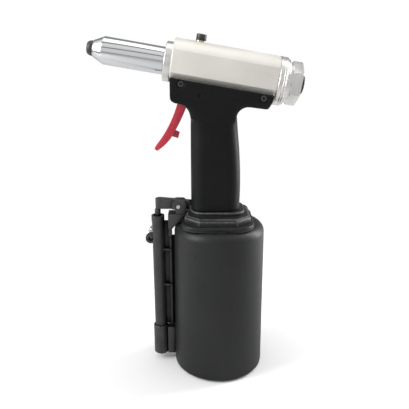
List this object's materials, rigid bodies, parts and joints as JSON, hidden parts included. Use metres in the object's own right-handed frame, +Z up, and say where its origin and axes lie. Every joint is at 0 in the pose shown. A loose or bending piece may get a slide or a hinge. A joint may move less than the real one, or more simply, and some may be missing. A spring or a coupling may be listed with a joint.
{
  "type": "pneumatic rivet gun",
  "caption": "Air-hydraulic blind rivet gun with a tilted head and chrome barrel, black pistol grip, red trigger lever and a round air cylinder it stands on.",
  "frame": {"origin": "centre of the air cylinder's underside, on its axis, in the plane it stands on", "axes": "+Z up along the air cylinder, -X the way the nose points, +Y to the side that carries the air hose nipple"},
  "size_m": [0.1738, 0.0812, 0.2937],
  "materials": {
    "black_steel": "blackened, satin",
    "chrome_barrel": "polished hard chrome",
    "bare_aluminium": "machined, bead blasted flats",
    "grey_anodised": "hard anodised, satin",
    "black_plastic": "moulded, semi-gloss with a fine texture",
    "red_trigger": "moulded, satin",
    "bright_steel": "zinc plated",
    "tool_steel": "hardened and ground",
    "spring_steel": "drawn wire",
    "seal_rubber": "nitrile",
    "bronze": "turned",
    "cast_aluminium": "turned"
  },
  "bodies": {
    "housing": {"nosepiece": "black_steel", "nose_sleeve": "chrome_barrel", "front_nut": "bare_aluminium", "head_casting": "bare_aluminium", "oil_plug_screw": "black_steel", "oil_plug_washer": "bronze", "rear_cap": "bare_aluminium", "end_cap": "bare_aluminium", "mandrel_bush": "black_steel", "mandrel_guide_pipe": "bright_steel", "handle_shell_left": "black_plastic", "handle_shell_right": "black_plastic", "shell_screws": "black_steel", "handle_seat": "grey_anodised", "handle_flange": "grey_anodised", "cylinder_collar": "grey_anodised", "trigger_pin": "black_steel", "rocker_pin": "bright_steel", "rocker_bracket": "black_steel", "valve_housing": "black_steel", "valve_top_bush": "bronze", "valve_spring": "spring_steel", "valve_manifold": "black_steel", "valve_plug": "grey_anodised", "air_inlet_nipple": "bright_steel", "air_cylinder": "grey_anodised", "base_cap": "grey_anodised", "base_seal": "seal_rubber", "ram_gland": "bronze", "ram_seal": "seal_rubber", "cylinder_lock_nut": "bright_steel", "rod_seal": "seal_rubber", "return_spring": "spring_steel"},
    "trigger": {"trigger": "red_trigger"},
    "pull_rod": {"pull_rod": "bright_steel"},
    "rocker": {"rocker": "black_steel"},
    "valve_stem": {"valve_stem": "black_steel", "valve_seals": "seal_rubber"},
    "air_piston": {"air_piston": "cast_aluminium", "air_piston_seal": "seal_rubber", "ram_rod": "chrome_barrel", "piston_nut": "bright_steel"},
    "head_piston": {"head_piston": "chrome_barrel", "head_piston_seal": "seal_rubber", "jaw_case": "chrome_barrel", "jaw_case_nut": "bright_steel", "jaw_spring": "spring_steel"},
    "jaw_1": {"jaw_1": "tool_steel"},
    "jaw_2": {"jaw_2": "tool_steel"},
    "jaw_3": {"jaw_3": "tool_steel"},
    "jaw_pusher": {"jaw_pusher": "tool_steel"}
  },
  "joints": [
    {"name": "trigger_pull", "type": "hinge", "parent": "housing", "child": "trigger", "pos_m": [-0.0165, 0, 0.2474], "axis": [0, -1, 0], "range_deg": [0, 15]},
    {"name": "pull_rod_lift", "type": "slide", "parent": "housing", "child": "pull_rod", "axis": [0.088, 0, 0.9961], "range_m": [0, 0.00136]},
    {"name": "rocker_tilt", "type": "hinge", "parent": "housing", "child": "rocker", "pos_m": [-0.0355, 0, 0.1527], "axis": [0, -1, 0], "range_deg": [0, 5.04]},
    {"name": "valve_press", "type": "slide", "parent": "housing", "child": "valve_stem", "axis": [0, 0, -1], "range_m": [0, 0.00166], "deforming": ["valve_spring"]},
    {"name": "air_piston_stroke", "type": "slide", "parent": "housing", "child": "air_piston", "axis": [0, 0, 1], "range_m": [0, 0.07]},
    {"name": "head_piston_stroke", "type": "slide", "parent": "housing", "child": "head_piston", "axis": [0.986, 0, -0.1668], "range_m": [0, 0.0146], "deforming": ["return_spring"]},
    {"name": "jaw_1_grip", "type": "slide", "parent": "head_piston", "child": "jaw_1", "axis": [-0.9956, 0, -0.0941], "range_m": [0, 0.0012]},
    {"name": "jaw_2_grip", "type": "slide", "parent": "head_piston", "child": "jaw_2", "axis": [-0.9308, 0.2241, 0.2887], "range_m": [0, 0.0012]},
    {"name": "jaw_3_grip", "type": "slide", "parent": "head_piston", "child": "jaw_3", "axis": [-0.9308, -0.2241, 0.2887], "range_m": [0, 0.0012]},
    {"name": "jaw_pusher_slide", "type": "slide", "parent": "head_piston", "child": "jaw_pusher", "axis": [-0.986, 0, 0.1668], "range_m": [0, 0.00116], "deforming": ["jaw_spring"]}
  ],
  "couplings": [
    {"joint": "pull_rod_lift", "follows": "trigger_pull", "m_per_rad": 0.0052},
    {"joint": "rocker_tilt", "follows": "trigger_pull", "ratio": 0.33548},
    {"joint": "valve_press", "follows": "trigger_pull", "m_per_rad": 0.00635},
    {"joint": "head_piston_stroke", "follows": "air_piston_stroke", "ratio": 0.2083},
    {"joint": "jaw_1_grip", "follows": "air_piston_stroke", "ratio": 0.01714},
    {"joint": "jaw_2_grip", "follows": "air_piston_stroke", "ratio": 0.01714},
    {"joint": "jaw_3_grip", "follows": "air_piston_stroke", "ratio": 0.01714},
    {"joint": "jaw_pusher_slide", "follows": "air_piston_stroke", "ratio": 0.01655}
  ]
}
